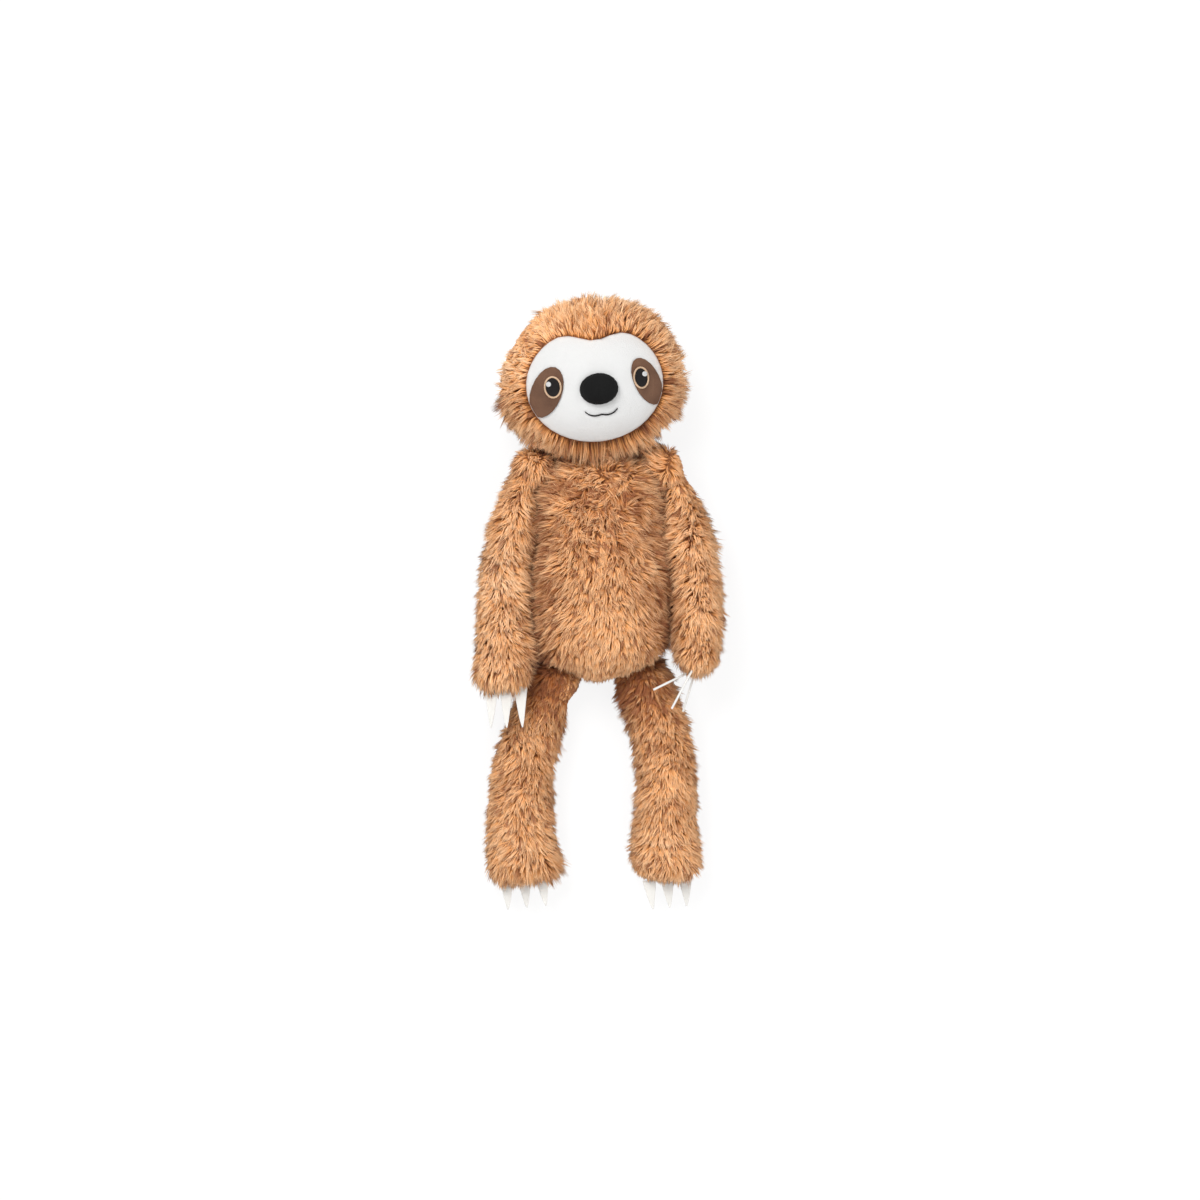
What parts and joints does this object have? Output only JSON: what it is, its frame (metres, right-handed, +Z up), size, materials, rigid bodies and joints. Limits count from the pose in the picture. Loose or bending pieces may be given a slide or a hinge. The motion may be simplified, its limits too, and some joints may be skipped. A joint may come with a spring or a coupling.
{
  "type": "plush sloth",
  "caption": "Long-limbed shaggy plush sloth with a white face panel, felt eye patches, domed nose, jointed limbs and felt claws.",
  "frame": {"origin": "on the surface that the toy lies on, under the middle of its outline", "axes": "+Y from the feet to the crown of the head, +Z up out of the belly and the face, +X to the viewer's right, which is the toy's own left"},
  "size_m": [0.2262, 0.5618, 0.12],
  "materials": {
    "fur": "long brushed pile, orange brown with dark plum-brown streaks",
    "face_fabric": "short smooth white plush",
    "patch_felt": "dark brown felt",
    "ring_thread": "beige satin-stitch embroidery",
    "black_embroidery": "black embroidery thread",
    "white_embroidery": "white embroidery thread",
    "nose_velour": "black short-pile velour",
    "claw_felt": "off-white stiff felt, two layers sewn together",
    "stuffing": "white polyester fibre",
    "thread": "strong brown sewing thread"
  },
  "bodies": {
    "torso": {"torso_cover": "fur", "torso_stuffing": "stuffing"},
    "neck_seam": {"neck_seam_thread": "thread"},
    "head": {"head_cover": "fur", "face_panel": "face_fabric", "head_stuffing": "stuffing", "left_eye_patch": "patch_felt", "left_eye_ring": "ring_thread", "left_pupil": "black_embroidery", "left_catchlight": "white_embroidery", "right_eye_patch": "patch_felt", "right_eye_ring": "ring_thread", "right_pupil": "black_embroidery", "right_catchlight": "white_embroidery", "nose": "nose_velour", "mouth_line": "black_embroidery"},
    "left_arm_seam": {"left_arm_root_seam_thread": "thread"},
    "left_arm": {"left_arm_cover": "fur", "left_arm_stuffing": "stuffing"},
    "left_hand_upper_claw": {"left_hand_upper_claw": "claw_felt"},
    "left_hand_middle_claw": {"left_hand_middle_claw": "claw_felt"},
    "left_hand_lower_claw": {"left_hand_lower_claw": "claw_felt"},
    "right_arm_seam": {"right_arm_root_seam_thread": "thread"},
    "right_arm": {"right_arm_cover": "fur", "right_arm_stuffing": "stuffing"},
    "right_hand_inner_claw": {"right_hand_inner_claw": "claw_felt"},
    "right_hand_middle_claw": {"right_hand_middle_claw": "claw_felt"},
    "right_hand_outer_claw": {"right_hand_outer_claw": "claw_felt"},
    "left_leg_seam": {"left_leg_root_seam_thread": "thread"},
    "left_leg": {"left_leg_cover": "fur", "left_leg_stuffing": "stuffing"},
    "left_foot_inner_claw": {"left_foot_inner_claw": "claw_felt"},
    "left_foot_middle_claw": {"left_foot_middle_claw": "claw_felt"},
    "left_foot_outer_claw": {"left_foot_outer_claw": "claw_felt"},
    "right_leg_seam": {"right_leg_root_seam_thread": "thread"},
    "right_leg": {"right_leg_cover": "fur", "right_leg_stuffing": "stuffing"},
    "right_foot_inner_claw": {"right_foot_inner_claw": "claw_felt"},
    "right_foot_middle_claw": {"right_foot_middle_claw": "claw_felt"},
    "right_foot_outer_claw": {"right_foot_outer_claw": "claw_felt"}
  },
  "joints": [
    {"name": "neck_nod", "type": "hinge", "parent": "torso", "child": "neck_seam", "pos_m": [-0.00041, 0.14196, 0.046], "axis": [1, 0, 0], "range_deg": [-15, 15], "stiffness_Nm_per_rad": 0.6},
    {"name": "neck_turn", "type": "hinge", "parent": "neck_seam", "child": "head", "pos_m": [-0.00041, 0.14196, 0.046], "axis": [0, 1, 0], "range_deg": [-60, 60], "stiffness_Nm_per_rad": 0.1},
    {"name": "left_shoulder_swing", "type": "hinge", "parent": "torso", "child": "left_arm_seam", "pos_m": [0.06159, 0.12496, 0.045], "axis": [-1, 0, 0], "range_deg": [-3, 110], "stiffness_Nm_per_rad": 0.8},
    {"name": "left_shoulder_spread", "type": "hinge", "parent": "left_arm_seam", "child": "left_arm", "pos_m": [0.06159, 0.12496, 0.045], "axis": [0, 0, 1], "range_deg": [0, 80], "stiffness_Nm_per_rad": 0.4},
    {"name": "left_hand_upper_claw_flex", "type": "hinge", "parent": "left_arm", "child": "left_hand_upper_claw", "pos_m": [0.08547, -0.06126, 0.074], "axis": [0, 0, 1], "range_deg": [-35, 87], "stiffness_Nm_per_rad": 0.002},
    {"name": "left_hand_middle_claw_flex", "type": "hinge", "parent": "left_arm", "child": "left_hand_middle_claw", "pos_m": [0.08547, -0.06126, 0.061], "axis": [0, 0, 1], "range_deg": [0, 126], "stiffness_Nm_per_rad": 0.002},
    {"name": "left_hand_lower_claw_flex", "type": "hinge", "parent": "left_arm", "child": "left_hand_lower_claw", "pos_m": [0.08917, -0.06132, 0.048], "axis": [0, 0, 1], "range_deg": [-10, 80], "stiffness_Nm_per_rad": 0.002},
    {"name": "right_shoulder_swing", "type": "hinge", "parent": "torso", "child": "right_arm_seam", "pos_m": [-0.05841, 0.12496, 0.045], "axis": [-1, 0, 0], "range_deg": [-3, 110], "stiffness_Nm_per_rad": 0.8},
    {"name": "right_shoulder_spread", "type": "hinge", "parent": "right_arm_seam", "child": "right_arm", "pos_m": [-0.05841, 0.12496, 0.045], "axis": [0, 0, -1], "range_deg": [0, 80], "stiffness_Nm_per_rad": 0.4},
    {"name": "right_hand_inner_claw_flex", "type": "hinge", "parent": "right_arm", "child": "right_hand_inner_claw", "pos_m": [-0.07118, -0.07598, 0.061], "axis": [-1, 0, 0], "range_deg": [-20, 40], "stiffness_Nm_per_rad": 0.002},
    {"name": "right_hand_middle_claw_flex", "type": "hinge", "parent": "right_arm", "child": "right_hand_middle_claw", "pos_m": [-0.08468, -0.07629, 0.061], "axis": [-1, 0, 0], "range_deg": [-20, 40], "stiffness_Nm_per_rad": 0.002},
    {"name": "right_hand_outer_claw_flex", "type": "hinge", "parent": "right_arm", "child": "right_hand_outer_claw", "pos_m": [-0.09817, -0.0766, 0.061], "axis": [-1, 0, 0], "range_deg": [-20, 40], "stiffness_Nm_per_rad": 0.002},
    {"name": "left_hip_swing", "type": "hinge", "parent": "torso", "child": "left_leg_seam", "pos_m": [0.04159, -0.07004, 0.027], "axis": [-1, 0, 0], "range_deg": [0, 20], "stiffness_Nm_per_rad": 0.3},
    {"name": "left_hip_spread", "type": "hinge", "parent": "left_leg_seam", "child": "left_leg", "pos_m": [0.04159, -0.07004, 0.027], "axis": [0, 0, 1], "range_deg": [-8, 20], "stiffness_Nm_per_rad": 0.3},
    {"name": "left_foot_inner_claw_flex", "type": "hinge", "parent": "left_leg", "child": "left_foot_inner_claw", "pos_m": [0.04706, -0.25484, 0.0265], "axis": [-1, 0, 0], "range_deg": [-60, 60], "stiffness_Nm_per_rad": 0.002},
    {"name": "left_foot_middle_claw_flex", "type": "hinge", "parent": "left_leg", "child": "left_foot_middle_claw", "pos_m": [0.06349, -0.25334, 0.0265], "axis": [-1, 0, 0], "range_deg": [-60, 60], "stiffness_Nm_per_rad": 0.002},
    {"name": "left_foot_outer_claw_flex", "type": "hinge", "parent": "left_leg", "child": "left_foot_outer_claw", "pos_m": [0.07992, -0.25183, 0.0265], "axis": [-1, 0, 0], "range_deg": [-60, 60], "stiffness_Nm_per_rad": 0.002},
    {"name": "right_hip_swing", "type": "hinge", "parent": "torso", "child": "right_leg_seam", "pos_m": [-0.03841, -0.07004, 0.027], "axis": [-1, 0, 0], "range_deg": [0, 25], "stiffness_Nm_per_rad": 0.3},
    {"name": "right_hip_spread", "type": "hinge", "parent": "right_leg_seam", "child": "right_leg", "pos_m": [-0.03841, -0.07004, 0.027], "axis": [0, 0, -1], "range_deg": [-8, 20], "stiffness_Nm_per_rad": 0.3},
    {"name": "right_foot_inner_claw_flex", "type": "hinge", "parent": "right_leg", "child": "right_foot_inner_claw", "pos_m": [-0.05156, -0.25184, 0.0265], "axis": [-1, 0, 0], "range_deg": [-60, 60], "stiffness_Nm_per_rad": 0.002},
    {"name": "right_foot_middle_claw_flex", "type": "hinge", "parent": "right_leg", "child": "right_foot_middle_claw", "pos_m": [-0.06799, -0.25334, 0.0265], "axis": [-1, 0, 0], "range_deg": [-60, 60], "stiffness_Nm_per_rad": 0.002},
    {"name": "right_foot_outer_claw_flex", "type": "hinge", "parent": "right_leg", "child": "right_foot_outer_claw", "pos_m": [-0.08442, -0.25483, 0.0265], "axis": [-1, 0, 0], "range_deg": [-60, 60], "stiffness_Nm_per_rad": 0.002}
  ]
}
